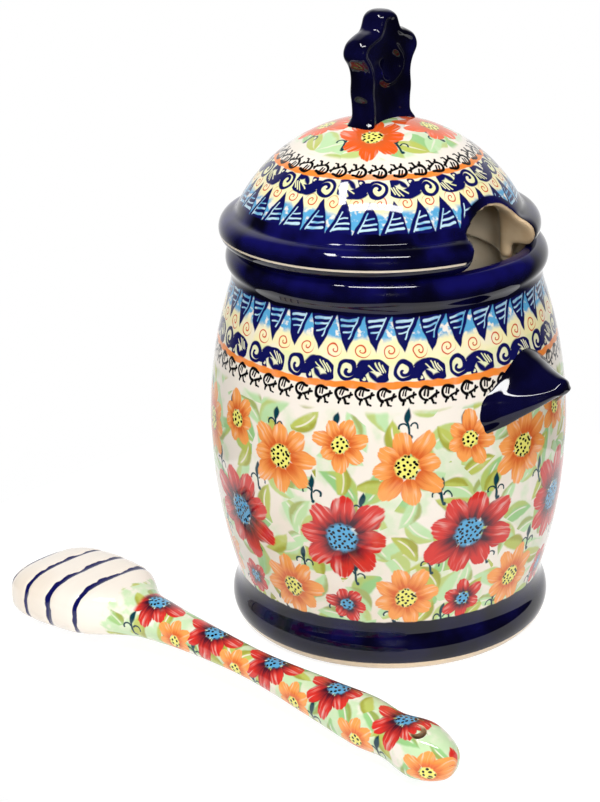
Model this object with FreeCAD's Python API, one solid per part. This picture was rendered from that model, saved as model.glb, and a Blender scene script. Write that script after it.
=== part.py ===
import FreeCAD, Part
import math
import os

# A ceramic honey pot with a loose lid and a dipper, in millimetres.
# The pot stands on z = 0 about the Z axis and its two lug handles point along X.
# The lid's dipper notch opens over the lug on +X, and the dipper lies in front, at -Y.

# Pot: a thrown barrel on a beaded foot, with a rolled collar round the mouth.
belly_radius = 60.0
belly_height = 68.0
pot_wall = 5.0
pot_floor = 4.5
inner_corner = 9.0
waist_radius = 52.5
waist_height = 15.3
waist_flare = 0.6
waist_sweep = 4.2
foot_bead = 2.2
foot_bead_height = 6.0
foot_tuck = 1.0
foot_ring_width = 6.0
foot_recess = 2.0
neck_radius = 51.15
neck_drop = 10.7
neck_flare = 0.7
neck_sweep = 4.3
collar_swell = 1.75
collar_drop = 5.2
rim_height = 132.2
rim_inset = 1.45
mouth_round = 0.8

# Lug handles: hooded thumb rests, hollow below, luted to the barrel.
lug_root_radius = 53.0
lug_tip_radius = 72.6
lug_half_width = 22.4
lug_lip = 5.0
lug_end_foot = 82.0
lug_tip_foot = 94.2
lug_root_top = 105.3
lug_tip_top = 98.8
lug_tip_height = 96.6
lug_count = 2

# The hood's arches from inside the wall to the tip: how far out, how wide, how far up the foot and down the top.
lug_arch_shares = [
    (-0.60, 1.05, 0.00, 0.00),
    (0.00, 0.96, 0.00, 0.00),
    (0.31, 0.71, 0.20, 0.36),
    (0.54, 0.545, 0.46, 0.70),
    (0.77, 0.37, 0.73, 0.92),
    (0.93, 0.20, 0.94, 1.00),
]

# The shoulder of an arch: how far across and how far up.
lug_shoulder_shares = (0.61, 0.745)

# Lid: a dome over a rolled rim, located in the mouth by a flange and notched for the dipper's handle.
lid_wall = 4.5
lid_play = 2.6
lid_rest_share = 0.84
lid_rest_angle = 220.5
lid_turn = 2.5
lid_seat_inset = 0.5
lid_roll_swell = 3.4
lid_roll_height = 5.0
lid_roll_top = 9.8
lid_roll_step = 4.3
dome_inset = 6.3
dome_foot = 11.6
dome_rise = 27.9
flange_wall = 4.0
flange_depth = 8.0
flange_round = 1.5
notch_radius = 16.5
notch_rise = 16.1
cove_share = 0.5

# Knob: a press-moulded scroll plate with wavy edges, dished on both broad faces round a raised curl.
knob_height = 35.0
knob_root = 4.0
knob_half_width = 14.8
knob_thickness = 9.4
knob_edge = 2.2
knob_shift = 1.0
knob_shift_angle = 40.5
dish_radius = 27.0
dish_depth = 1.3
dish_height_share = 0.40
curl_radius = 4.8
curl_thickness = 2.4
curl_sweep = 235.0
curl_turn = -75.0

# Half of the knob's outline, from the root to the crown: how far out and how far up.
knob_outline_shares = [
    (0.90, 0.00),
    (0.74, 0.20),
    (0.84, 0.35),
    (0.79, 0.48),
    (1.00, 0.66),
    (0.80, 0.805),
    (0.46, 0.855),
    (0.32, 0.94),
    (0.00, 0.985),
]

# The plate's thickness, from one broad face to the other, and how much of the edge is taken off there.
knob_layer_shares = [(-1.0, 1.0), (-0.7, 0.25), (0.0, 0.0), (0.7, 0.25), (1.0, 1.0)]

# Dipper: a flattened beehive head with four shallow rings, a waisted round handle and a bulb with a hanging hole.
dipper_length = 191.3
head_half_height = 9.8
head_crest = 24.0
head_length = 62.0
head_droop = 7.6
droop_length = 107.0
throat_radius = 7.45
grip_radius = 4.9
grip_middle = 109.0
swell_radius = 7.95
swell_middle = 156.4
bulb_waist_radius = 7.3
bulb_waist = 167.5
bulb_radius = 8.75
bulb_middle = 179.2
first_ring = 5.6
ring_spacing = 11.7
ring_count = 4
ring_width = 1.8
ring_depth = 0.6
hole_radius = 2.2
hole_station = 179.8
hole_roll = 20.0
dipper_tip_x = -96.3
dipper_tip_y = -79.0
dipper_yaw = -1.1
table_gap = 0.3

# How much wider than thick the head is, where along it the width starts to run out, and how square it is.
head_spread_share = 0.96
spread_end_share = 0.62
head_square_share = 0.35

# How the head's middle line droops below the handle's axis, and where along the head it touches the table.
droop_power_share = 2.0
head_rest_share = 0.18

# Where the dipper's cross sections are taken: close together at the rounded ends, evenly between them.
tip_section_shares = (0.06, 0.40)
end_section_shares = (0.45, 0.80, 0.96)
even_sections = 17
section_points = 12

# The outline's rounded ends and tapers: how far along to the next named station, and how thick.
tip_round_shares = (0.10, 0.62)
tip_side_shares = (0.38, 0.93)
back_shares = (0.50, 0.915)
taper_shares = (0.366, 0.80)
flare_shares = (0.62, 0.84)
end_round_shares = (0.78, 0.62)

# Cuts and trimmed roots run past the surface by this much.
overrun = 3.0

# Sizes that follow from those above.
foot_edge_radius = waist_radius - foot_tuck
neck_height = rim_height - neck_drop
collar_height = rim_height - collar_drop
rim_edge_radius = neck_radius - rim_inset
mouth_radius = neck_radius - pot_wall
flange_radius = mouth_radius - lid_play
lid_seat_radius = rim_edge_radius - lid_seat_inset
lid_roll_radius = lid_seat_radius + lid_roll_swell
dome_foot_radius = lid_roll_radius - dome_inset
dome_foot_height = rim_height + dome_foot
dome_radius = (dome_foot_radius ** 2 + dome_rise ** 2) / (2 * dome_rise)
dome_centre = dome_foot_height + dome_rise - dome_radius
dome_top = dome_centre + dome_radius
lid_shift = lid_play * lid_rest_share
lid_x = lid_shift * math.cos(math.radians(lid_rest_angle))
lid_y = lid_shift * math.sin(math.radians(lid_rest_angle))

X_AXIS = FreeCAD.Vector(1, 0, 0)
Y_AXIS = FreeCAD.Vector(0, 1, 0)
Z_AXIS = FreeCAD.Vector(0, 0, 1)
ORIGIN = FreeCAD.Vector(0, 0, 0)


def point(radius, height):
    """A point of a turned outline, drawn in the XZ plane."""
    return FreeCAD.Vector(radius, 0, height)


def line(start, end):
    return Part.LineSegment(start, end)


def upright_arc(crest, end):
    """The arc from a crest or a hollow, where the outline stands upright, to an end beside it."""
    inset = crest.x - end.x
    rise = end.z - crest.z
    radius = (inset ** 2 + rise ** 2) / (2 * inset)
    half_turn = math.asin(rise / radius) / 2
    centre_radius = crest.x - radius
    middle = point(centre_radius + radius * math.cos(half_turn), crest.z + radius * math.sin(half_turn))
    return Part.Arc(crest, middle, end)


def ogee(crest, hollow):
    """Two equal arcs in an S from a crest to a hollow, upright at both ends."""
    turn = (crest + hollow) / 2
    return upright_arc(crest, turn), upright_arc(hollow, turn)


def corner_arc(start, centre, end):
    """A quarter round between two points about a centre."""
    radius = (start - centre).Length
    outward = start + end - centre * 2
    return Part.Arc(start, centre + outward.normalize() * radius, end)


def turned(outline):
    """The solid that a closed outline in the XZ plane sweeps about the Z axis."""
    wire = Part.Wire([curve.toShape() for curve in outline])
    return Part.Face(wire).revolve(ORIGIN, Z_AXIS, 360)


def outer_form():
    """The outside of the pot as one filled solid, which the lugs are trimmed to as well."""
    base = point(0, 0)
    foot = point(foot_edge_radius, 0)
    bead = point(waist_radius + foot_bead, foot_bead_height)
    waist = point(waist_radius, waist_height)
    barrel_foot = point(waist_radius + waist_flare, waist_height + waist_sweep)
    belly = point(belly_radius, belly_height)
    barrel_top = point(neck_radius + neck_flare, neck_height - neck_sweep)
    neck = point(neck_radius, neck_height)
    collar = point(neck_radius + collar_swell, collar_height)
    rim = point(rim_edge_radius, rim_height)
    top = point(0, rim_height)
    return turned([
        line(base, foot),
        upright_arc(bead, foot),
        *ogee(bead, waist),
        upright_arc(waist, barrel_foot),
        upright_arc(belly, barrel_foot),
        upright_arc(belly, barrel_top),
        upright_arc(neck, barrel_top),
        *ogee(neck, collar),
        upright_arc(collar, rim),
        line(rim, top),
        line(top, base),
    ])


def inner_form():
    """The room inside the pot, from its floor out through the mouth."""
    floor_height = foot_recess + pot_floor
    side_radius = waist_radius - pot_wall
    floor_middle = point(0, floor_height)
    floor_edge = point(side_radius - inner_corner, floor_height)
    corner = point(side_radius - inner_corner, floor_height + inner_corner)
    side_foot = point(side_radius, floor_height + inner_corner)
    belly = point(belly_radius - pot_wall, belly_height)
    neck = point(mouth_radius, neck_height)
    lip = point(mouth_radius, rim_height - mouth_round)
    lip_centre = point(mouth_radius + mouth_round, rim_height - mouth_round)
    lip_edge = point(mouth_radius + mouth_round, rim_height)
    above = point(mouth_radius + mouth_round, rim_height + overrun)
    top = point(0, rim_height + overrun)
    return turned([
        line(floor_middle, floor_edge),
        corner_arc(floor_edge, corner, side_foot),
        upright_arc(belly, side_foot),
        upright_arc(belly, neck),
        line(neck, lip),
        corner_arc(lip, lip_centre, lip_edge),
        line(lip_edge, above),
        line(above, top),
        line(top, floor_middle),
    ])


def foot_hollow():
    """The shallow recess that leaves the pot standing on a ring."""
    ring_radius = foot_edge_radius - foot_ring_width
    below = point(0, -overrun)
    ring_below = point(ring_radius, -overrun)
    ring = point(ring_radius, 0)
    cove_centre = point(ring_radius - foot_recess, 0)
    recess_edge = point(ring_radius - foot_recess, foot_recess)
    recess_middle = point(0, foot_recess)
    return turned([
        line(below, ring_below),
        line(ring_below, ring),
        corner_arc(ring, cove_centre, recess_edge),
        line(recess_edge, recess_middle),
        line(recess_middle, below),
    ])


def pot_body():
    return outer_form().cut(inner_form()).cut(foot_hollow())


def hood_arch(reach, half_width, foot, top):
    """One closed arch of the lug's hood, rounded at its two feet and hollow between them."""
    rise = top - foot
    hollow_width = max(half_width - lug_lip, 0)
    hollow_rise = hollow_width / half_width * rise
    across_share, up_share = lug_shoulder_shares
    right_side = [
        (half_width * across_share, foot + rise * up_share),
        (half_width, foot + lug_lip / 2),
        ((half_width + hollow_width) / 2, foot),
    ]
    outline = [(0, top)] + right_side + [(0, foot + hollow_rise)]
    outline += [(-across, up) for across, up in reversed(right_side)]
    arch = Part.BSplineCurve()
    arch.interpolate([FreeCAD.Vector(reach, across, up) for across, up in outline], True)
    return Part.Wire([arch.toShape()])


def lug_handle(index):
    """A lug lofted from its arches to its tip and trimmed to the barrel, one on each side of the pot."""
    arches = []
    for out_share, width_share, foot_share, top_share in lug_arch_shares:
        reach = lug_root_radius + (lug_tip_radius - lug_root_radius) * out_share
        foot = lug_end_foot + (lug_tip_foot - lug_end_foot) * foot_share
        top = lug_root_top + (lug_tip_top - lug_root_top) * top_share
        arches.append(hood_arch(reach, lug_half_width * width_share, foot, top))
    tip = Part.Vertex(point(lug_tip_radius, lug_tip_height))
    lug = Part.makeLoft(arches + [tip], True).cut(outer_form())
    lug.rotate(ORIGIN, Z_AXIS, 360 / lug_count * index)
    return lug


def lid_form():
    """The outside of the lid above its seat as one filled solid, which the knob is trimmed to as well."""
    seat_middle = point(0, rim_height)
    seat = point(lid_seat_radius, rim_height)
    roll = point(lid_roll_radius, rim_height + lid_roll_height)
    roll_end = point(lid_roll_radius - lid_roll_step, rim_height + lid_roll_top)
    dome_edge = point(dome_foot_radius, dome_foot_height)
    crease = point(dome_foot_radius, rim_height + lid_roll_top)
    cove = (roll_end + dome_edge) / 2 * (1 - cove_share) + crease * cove_share
    half_turn = math.asin(dome_foot_radius / dome_radius) / 2
    shoulder = point(dome_radius * math.sin(half_turn), dome_centre + dome_radius * math.cos(half_turn))
    crown = point(0, dome_top)
    return turned([
        line(seat_middle, seat),
        upright_arc(roll, seat),
        upright_arc(roll, roll_end),
        Part.Arc(roll_end, cove, dome_edge),
        Part.Arc(dome_edge, shoulder, crown),
        line(crown, seat_middle),
    ])


def flange():
    """The ring under the seat that drops into the pot's mouth, rounded below."""
    bottom = rim_height - flange_depth
    return turned([
        line(point(0, rim_height), point(flange_radius, rim_height)),
        line(point(flange_radius, rim_height), point(flange_radius, bottom + flange_round)),
        corner_arc(
            point(flange_radius, bottom + flange_round),
            point(flange_radius - flange_round, bottom + flange_round),
            point(flange_radius - flange_round, bottom),
        ),
        line(point(flange_radius - flange_round, bottom), point(0, bottom)),
        line(point(0, bottom), point(0, rim_height)),
    ])


def lid_hollow():
    """The room under the lid: straight inside the flange, then a dome one wall below the outer one."""
    bottom = rim_height - flange_depth - overrun
    room_radius = flange_radius - flange_wall
    vault_radius = dome_radius - lid_wall
    spring = math.asin(room_radius / vault_radius)
    vault_edge = point(room_radius, dome_centre + vault_radius * math.cos(spring))
    vault_side = point(vault_radius * math.sin(spring / 2), dome_centre + vault_radius * math.cos(spring / 2))
    vault_top = point(0, dome_centre + vault_radius)
    return turned([
        line(point(0, bottom), point(room_radius, bottom)),
        line(point(room_radius, bottom), vault_edge),
        Part.Arc(vault_edge, vault_side, vault_top),
        line(vault_top, point(0, bottom)),
    ])


def notch():
    """A round-headed cutter along X, for the dipper's handle, that opens the lid's rim and flange."""
    length = lid_roll_radius + overrun
    head_height = rim_height + notch_rise - notch_radius
    legs_height = flange_depth + overrun
    head = Part.makeCylinder(notch_radius, length, point(0, head_height), X_AXIS)
    legs_corner = FreeCAD.Vector(0, -notch_radius, head_height - legs_height)
    legs = Part.makeBox(length, notch_radius * 2, legs_height, legs_corner)
    return head.fuse(legs).removeSplitter()


def set_down(piece):
    """A piece of the lid, turned and moved to where the loose lid rests on the pot."""
    piece.rotate(ORIGIN, Z_AXIS, lid_turn)
    piece.translate(FreeCAD.Vector(lid_x, lid_y, 0))
    return piece


def lid_shell():
    shell = lid_form().fuse(flange()).removeSplitter().cut(lid_hollow()).cut(notch())
    return set_down(shell)


def knob_layer(side_share, edge_share):
    """The knob's outline at one depth of the plate, drawn in where the edge is rounded off."""
    edge = knob_edge * edge_share
    half_width = knob_half_width - edge
    height = knob_height + knob_root - edge
    root_height = dome_top - knob_root
    depth = knob_thickness / 2 * side_share
    half = [(half_width * out, root_height + height * up) for out, up in knob_outline_shares]
    outline = half + [(-out, up) for out, up in reversed(half[:-1])]
    points = [FreeCAD.Vector(depth, out, up) for out, up in outline]
    edge_curve = Part.BSplineCurve()
    edge_curve.interpolate(points)
    return Part.Wire([edge_curve.toShape(), line(points[-1], points[0]).toShape()])


def knob_face(side):
    """The dish cutter and the raised curl of one broad face of the knob."""
    face = knob_thickness / 2 * side
    middle = dome_top + knob_height * dish_height_share
    dish = Part.makeSphere(dish_radius, FreeCAD.Vector(face + (dish_radius - dish_depth) * side, 0, middle))
    centre = FreeCAD.Vector(face - dish_depth * side, 0, middle)
    curl = Part.makeTorus(curl_radius, curl_thickness / 2, centre, X_AXIS, -180, 180, curl_sweep)
    curl.rotate(centre, X_AXIS, curl_turn)
    return dish, curl


def lid_knob():
    plate = Part.makeLoft([knob_layer(*layer) for layer in knob_layer_shares], True)
    for side in (-1, 1):
        dish, curl = knob_face(side)
        plate = plate.cut(dish).fuse(curl)
    shift = math.radians(knob_shift_angle)
    plate.translate(FreeCAD.Vector(math.cos(shift), math.sin(shift), 0) * knob_shift)
    return set_down(plate.cut(lid_form()))


def between(start, end, shares):
    """A point of the dipper's outline between two others, by shares of the way along and of the thicker one."""
    along_share, thick_share = shares
    thick = max(start.x, end.x) * thick_share
    return point(thick, start.z + (end.z - start.z) * along_share)


def dipper_outline():
    """The dipper's side from the tip of its head to the end of its handle, along Z."""
    tip = point(0, 0)
    head = point(head_half_height, head_crest)
    throat = point(throat_radius, head_length)
    grip = point(grip_radius, grip_middle)
    swell = point(swell_radius, swell_middle)
    bulb = point(bulb_radius, bulb_middle)
    end = point(0, dipper_length)
    outline = Part.BSplineCurve()
    outline.interpolate([
        tip,
        between(tip, head, tip_round_shares),
        between(tip, head, tip_side_shares),
        head,
        between(head, throat, back_shares),
        throat,
        between(throat, grip, taper_shares),
        grip,
        between(grip, swell, flare_shares),
        swell,
        point(bulb_waist_radius, bulb_waist),
        bulb,
        between(bulb, end, end_round_shares),
        end,
    ])
    return outline


def side_point(outline, station):
    """The point of the dipper's side at a station along it."""
    reach = line(point(0, station), point(dipper_length, station))
    return point(outline.intersect(reach)[0].X, station)


def head_spread(station):
    """How many times wider than thick the dipper is at a station: most in the head, once in the handle."""
    run_out = head_length * spread_end_share
    along = min(max((station - run_out) / (head_length - run_out), 0), 1)
    return 1 + head_spread_share * (1 + math.cos(math.pi * along)) / 2


def droop(station):
    """How far the head's middle line lies below the handle's axis at a station."""
    return head_droop * max(1 - station / droop_length, 0) ** droop_power_share


def dipper_section(outline, station, inset):
    """A closed cross section of the dipper at a station: round in the handle, wider and squarer in the head."""
    half_height = side_point(outline, station).x
    spread = head_spread(station)
    power = 1 - head_square_share * (spread - 1)
    points = []
    for step in range(section_points):
        turn = 2 * math.pi * step / section_points
        down = math.copysign(abs(math.cos(turn)) ** power, math.cos(turn))
        across = math.copysign(abs(math.sin(turn)) ** power, math.sin(turn))
        depth = droop(station) + (half_height - inset) * down
        points.append(FreeCAD.Vector(depth, (half_height * spread - inset) * across, station))
    section = Part.BSplineCurve()
    section.interpolate(points, True)
    return Part.Wire([section.toShape()])


def dipper_body(outline, inset):
    """The dipper without its rings, or the core that the rings are cut down to."""
    stations = [first_ring * share for share in tip_section_shares]
    for index in range(even_sections + 1):
        stations.append(first_ring + (bulb_middle - first_ring) * index / even_sections)
    stations += [bulb_middle + (dipper_length - bulb_middle) * share for share in end_section_shares]
    sections = [dipper_section(outline, station, inset) for station in stations]
    tip = Part.Vertex(FreeCAD.Vector(droop(0), 0, inset))
    end = Part.Vertex(point(0, dipper_length - inset))
    return Part.makeLoft([tip] + sections + [end], True)


def ring_cutter(core, index):
    """A slab across the head with the core taken out of it, so that it cuts one shallow ring."""
    span = dipper_length
    station = first_ring + ring_spacing * index - ring_width / 2
    slab = Part.makeBox(span, span, ring_width, FreeCAD.Vector(-span / 2, -span / 2, station))
    return slab.cut(core)


def honey_dipper():
    """The dipper lofted through its sections, ringed, drilled, and laid level on its head and bulb."""
    outline = dipper_outline()
    dipper = dipper_body(outline, 0)
    core = dipper_body(outline, ring_depth)
    for index in range(ring_count):
        dipper = dipper.cut(ring_cutter(core, index))
    roll = math.radians(hole_roll)
    way_up = FreeCAD.Vector(-math.cos(roll), -math.sin(roll), 0)
    half_drill = bulb_radius + overrun
    drill_start = point(0, hole_station) - way_up * half_drill
    dipper = dipper.cut(Part.makeCylinder(hole_radius, half_drill * 2, drill_start, way_up))
    rest_station = head_length * head_rest_share
    head_reach = droop(rest_station) + side_point(outline, rest_station).x
    tilt = math.atan((head_reach - bulb_radius) / (bulb_middle - rest_station))
    dipper.rotate(ORIGIN, Y_AXIS, 90 + math.degrees(tilt))
    dipper.rotate(ORIGIN, Z_AXIS, dipper_yaw)
    lowest = dipper.optimalBoundingBox(False, False).ZMin
    dipper.translate(FreeCAD.Vector(dipper_tip_x, dipper_tip_y, table_gap - lowest))
    return dipper


parts = {
    "pot_body": pot_body(),
    "lug_handle_right": lug_handle(0),
    "lug_handle_left": lug_handle(1),
    "lid_shell": lid_shell(),
    "lid_knob": lid_knob(),
    "honey_dipper": honey_dipper(),
}

os.makedirs("parts", exist_ok=True)
for name, shape in parts.items():
    shape.exportStep("parts/" + name + ".step")
    print(name, len(shape.Solids), shape.isValid(), round(shape.Volume))
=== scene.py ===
import bmesh
import bpy
import math
from mathutils import Matrix, Vector, kdtree


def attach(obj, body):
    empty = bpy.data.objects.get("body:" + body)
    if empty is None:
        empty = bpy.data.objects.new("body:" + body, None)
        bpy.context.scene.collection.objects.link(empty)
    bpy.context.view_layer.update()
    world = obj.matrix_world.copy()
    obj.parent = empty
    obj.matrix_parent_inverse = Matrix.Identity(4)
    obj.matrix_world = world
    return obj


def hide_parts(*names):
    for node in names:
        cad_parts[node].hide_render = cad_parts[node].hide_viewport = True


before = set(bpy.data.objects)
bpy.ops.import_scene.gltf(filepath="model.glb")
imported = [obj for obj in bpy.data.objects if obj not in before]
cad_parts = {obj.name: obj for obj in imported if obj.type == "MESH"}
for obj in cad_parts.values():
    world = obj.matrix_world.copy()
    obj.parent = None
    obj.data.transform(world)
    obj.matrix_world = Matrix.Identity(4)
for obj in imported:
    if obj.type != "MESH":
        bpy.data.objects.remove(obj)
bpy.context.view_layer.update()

# Pot
# A stoneware barrel thrown on the wheel, on a beaded foot and with a rolled collar round its mouth.
# It is painted under a clear gloss glaze, cream inside, and bare clay under the foot ring.
mm = 0.001
belly = (60.0, 68.0)
waist = (52.5, 15.3)
barrel_foot = (53.1, 19.5)
foot_bead = (54.7, 6.0)
foot_edge = (51.5, 0.0)
foot_ring = (45.5, 0.0)
foot_recess = 2.0
barrel_top = (51.85, 117.2)
neck = (51.15, 121.5)
collar = (52.9, 127.0)
rim_edge = (49.7, 132.2)
rim_height = 132.2
mouth_radius = 46.15
mouth_round = 0.8
inner_belly = (55.0, 68.0)
inner_foot = (47.5, 15.5)
inner_corner = 9.0
floor_height = 6.5
glaze_round = 0.9
outline_step = 0.9
merge_gap = 0.01
pot_columns = 192


def upright_arc(crest, end, start_at_end=False):
    """Points of the arc from a crest or hollow, where the outline stands upright, to an end beside it."""
    inset = crest[0] - end[0]
    rise = end[1] - crest[1]
    radius = (inset ** 2 + rise ** 2) / (2 * inset)
    turn = math.asin(rise / radius)
    steps = max(3, round(abs(turn * radius) / outline_step))
    points = []
    for step in range(steps + 1):
        angle = turn * step / steps
        points.append((crest[0] - radius + radius * math.cos(angle), crest[1] + radius * math.sin(angle)))
    return points[::-1] if start_at_end else points


def ogee(start, end):
    """Points of two equal arcs in an S, upright at both ends."""
    middle = ((start[0] + end[0]) / 2, (start[1] + end[1]) / 2)
    return upright_arc(start, middle) + upright_arc(end, middle, True)


def round_about(centre, radius, start_turn, end_turn):
    """Points of an arc about a centre, between two turns in degrees."""
    steps = max(4, round(abs(math.radians(end_turn - start_turn)) * radius / outline_step))
    points = []
    for step in range(steps + 1):
        turn = math.radians(start_turn + (end_turn - start_turn) * step / steps)
        points.append((centre[0] + radius * math.cos(turn), centre[1] + radius * math.sin(turn)))
    return points


def glazed_outline(points):
    """The outline at even steps, with its corners rounded as a coat of glaze rounds them."""
    steps = [points[0]]
    for start, end in zip(points, points[1:]):
        count = math.ceil(math.dist(start, end) / outline_step - 0.01)
        for step in range(1, count + 1):
            steps.append(tuple(a + (b - a) * step / count for a, b in zip(start, end)))
    span = round(glaze_round / outline_step)
    smooth = []
    for index in range(len(steps)):
        near = min(span, index, len(steps) - 1 - index)
        group = steps[index - near:index + near + 1]
        smooth.append(tuple(sum(values) / len(group) for values in zip(*group)))
    return smooth


pot_outline = [(0.0, foot_recess)]
pot_outline += round_about((foot_ring[0] - foot_recess, 0.0), foot_recess, 90, 0)
pot_outline += upright_arc(foot_bead, foot_edge, True)
pot_outline += ogee(foot_bead, waist)
pot_outline += upright_arc(waist, barrel_foot)
pot_outline += upright_arc(belly, barrel_foot, True)
pot_outline += upright_arc(belly, barrel_top)
pot_outline += upright_arc(neck, barrel_top, True)
pot_outline += ogee(neck, collar)
pot_outline += upright_arc(collar, rim_edge)
pot_outline += round_about((mouth_radius + mouth_round, rim_height - mouth_round), mouth_round, 90, 180)
pot_outline += upright_arc(inner_belly, (mouth_radius, neck[1]), True)
pot_outline += upright_arc(inner_belly, inner_foot)
pot_outline += round_about((inner_foot[0] - inner_corner, inner_foot[1]), inner_corner, 0, -90)
pot_outline += [(0.0, floor_height)]
pot_outline = glazed_outline(pot_outline)


def turning_wheel():
    """A node tree that turns an outline about the Z axis, and glazes it outside, inside and underneath."""
    tree = bpy.data.node_groups.new("turning_wheel", "GeometryNodeTree")
    sockets = (
        ("Outline", "Geometry"), ("Columns", "Int"), ("Foot row", "Int"), ("Mouth row", "Int"),
        ("Outside", "Material"), ("Inside", "Material"), ("Underside", "Material"),
    )
    for name, kind in sockets:
        tree.interface.new_socket(name, in_out="INPUT", socket_type="NodeSocket" + kind)
    tree.interface.new_socket("Turned", in_out="OUTPUT", socket_type="NodeSocketGeometry")
    wheel = Dye(tree)
    given = {name: wheel.node("NodeGroupInput", {}, {}, name) for name, kind in sockets}
    columns = given["Columns"]
    rows = wheel.node("GeometryNodeAttributeDomainSize", {}, {"Geometry": given["Outline"]}, "Point Count")
    sheet = wheel.node("GeometryNodeMeshGrid", {}, {"Vertices X": rows, "Vertices Y": columns}, "Mesh")
    index = wheel.node("GeometryNodeInputIndex", {}, {})
    row = wheel.maths("FLOOR", index / columns)
    turn = wheel.maths("FLOORED_MODULO", index, columns) / (columns - 1.0) * (2 * math.pi)
    position = wheel.node("GeometryNodeInputPosition", {}, {})
    sample = {"Geometry": given["Outline"], "Value": position, "Index": row}
    drawn = wheel.node("GeometryNodeSampleIndex", {"data_type": "FLOAT_VECTOR", "domain": "POINT"}, sample)
    reach, height = split(drawn)[::2]
    across = reach * wheel.maths("COSINE", turn)
    along = reach * wheel.maths("SINE", turn)
    thrown = wheel.node("ShaderNodeCombineXYZ", {}, {"X": across, "Y": along, "Z": height})
    mark = {"Geometry": sheet, "Name": "outline_row", "Value": row}
    marked = wheel.node("GeometryNodeStoreNamedAttribute", {"data_type": "FLOAT", "domain": "POINT"}, mark)
    turned = wheel.node("GeometryNodeSetPosition", {}, {"Geometry": marked, "Position": thrown})
    clay = wheel.node("GeometryNodeMergeByDistance", {}, {"Geometry": turned, "Distance": merge_gap * mm})
    named = {"Name": "outline_row"}
    kept_row = wheel.node("GeometryNodeInputNamedAttribute", {"data_type": "FLOAT"}, named, "Attribute")
    below = wheel.maths("LESS_THAN", kept_row, given["Foot row"])
    within = wheel.maths("GREATER_THAN", kept_row, given["Mouth row"])
    for where, coat in ((True, "Outside"), (within, "Inside"), (below, "Underside")):
        dip = {"Geometry": clay, "Selection": where, "Material": given[coat]}
        clay = wheel.node("GeometryNodeSetMaterial", {}, dip)
    smooth = wheel.node("GeometryNodeSetShadeSmooth", {}, {"Geometry": clay})
    whole = wheel.node("GeometryNodeRealizeInstances", {}, {"Geometry": smooth})
    tree.links.new(whole.socket, tree.nodes.new("NodeGroupOutput").inputs["Turned"])
    return tree


def set_out(name, data):
    """A thing set out in the scene."""
    thing = bpy.data.objects.new(name, data)
    bpy.context.scene.collection.objects.link(thing)
    return thing


def worked(*things):
    """The mesh of the first thing with its modifiers done; all the things are then put away."""
    bpy.context.view_layer.update()
    ready = things[0].evaluated_get(bpy.context.evaluated_depsgraph_get())
    mesh = bpy.data.meshes.new_from_object(ready)
    for thing in things:
        bpy.data.objects.remove(thing)
    return mesh


def new_piece(name, mesh, body, node):
    """A finished piece that rides on a body in place of its plain solid."""
    piece = set_out(name, mesh)
    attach(piece, body)
    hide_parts(node)


def turned_mesh(name, outline, settings):
    """Turns an outline in the node tree and returns it as a plain mesh."""
    drawing = bpy.data.meshes.new(name + "_outline")
    lines = [(index, index + 1) for index in range(len(outline) - 1)]
    drawing.from_pydata([(radius * mm, 0.0, height * mm) for radius, height in outline], lines, [])
    blank = set_out(name + "_blank", drawing)
    wheel = blank.modifiers.new("wheel", "NODES")
    wheel.node_group = turning_wheel()
    for item in wheel.node_group.interface.items_tree:
        if item.name in settings:
            wheel[item.identifier] = settings[item.name]
    return worked(blank)


class Dye:
    """One value of a node tree: sums written on values add their Math nodes."""

    def __init__(self, tree, socket=None):
        self.tree = tree
        self.socket = socket

    def node(self, kind, settings, inputs, output=0):
        """Any other node: its settings first, then the values or links of its sockets."""
        made = self.tree.nodes.new(kind)
        for key, value in settings.items():
            setattr(made, key, value)
        for key, value in inputs.items():
            if isinstance(value, Dye):
                self.tree.links.new(value.socket, made.inputs[key])
            else:
                made.inputs[key].default_value = value
        return Dye(self.tree, made.outputs[output])

    def maths(self, operation, first, second=0.0):
        return self.node("ShaderNodeMath", {"operation": operation}, {0: first, 1: second})

    def __add__(self, other):
        return self.maths("ADD", self, other)

    def __sub__(self, other):
        return self.maths("SUBTRACT", self, other)

    def __rsub__(self, other):
        return self.maths("SUBTRACT", other, self)

    def __mul__(self, other):
        return self.maths("MULTIPLY", self, other)

    def __truediv__(self, other):
        return self.maths("DIVIDE", self, other)

    def __abs__(self):
        return self.maths("ABSOLUTE", self)

    def __or__(self, other):
        return self.maths("MAXIMUM", self, other)

    def fade(self, none, full):
        """A mask of this value: 0 at one value, 1 at the other, and smooth between."""
        inputs = {"Value": self, "From Min": none, "From Max": full}
        return self.node("ShaderNodeMapRange", {"interpolation_type": "SMOOTHSTEP"}, inputs, "Result")

    def seen_from(self, other):
        """This place seen from another place."""
        return self.node("ShaderNodeVectorMath", {"operation": "SUBTRACT"}, {0: self, 1: other})

    def moved(self, across, up):
        """This place seen from a centre."""
        return self.seen_from((across, up, 0.0))

    def toward(self, way):
        """How far this place lies along a way."""
        return self.node("ShaderNodeVectorMath", {"operation": "DOT_PRODUCT"}, {0: self, 1: way}, "Value")

    def along(self, turn):
        """How far this place lies along a direction, in degrees from across."""
        return self.toward((math.cos(math.radians(turn)), math.sin(math.radians(turn)), 0.0))

    def away(self):
        """How far this place lies from its centre."""
        return self.node("ShaderNodeVectorMath", {"operation": "LENGTH"}, {0: self}, "Value")

    def grain(self, scale, detail=2.0, output="Fac"):
        """Noise over a place, in patches about one over the scale across."""
        inputs = {"Vector": self, "Scale": scale, "Detail": detail}
        return self.node("ShaderNodeTexNoise", {}, inputs, output)

    def chance(self, seed):
        """A number from 0 to 1 that belongs to a whole number."""
        return self.node("ShaderNodeTexWhiteNoise", {"noise_dimensions": "1D"}, {"W": self + seed}, "Value")


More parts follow.
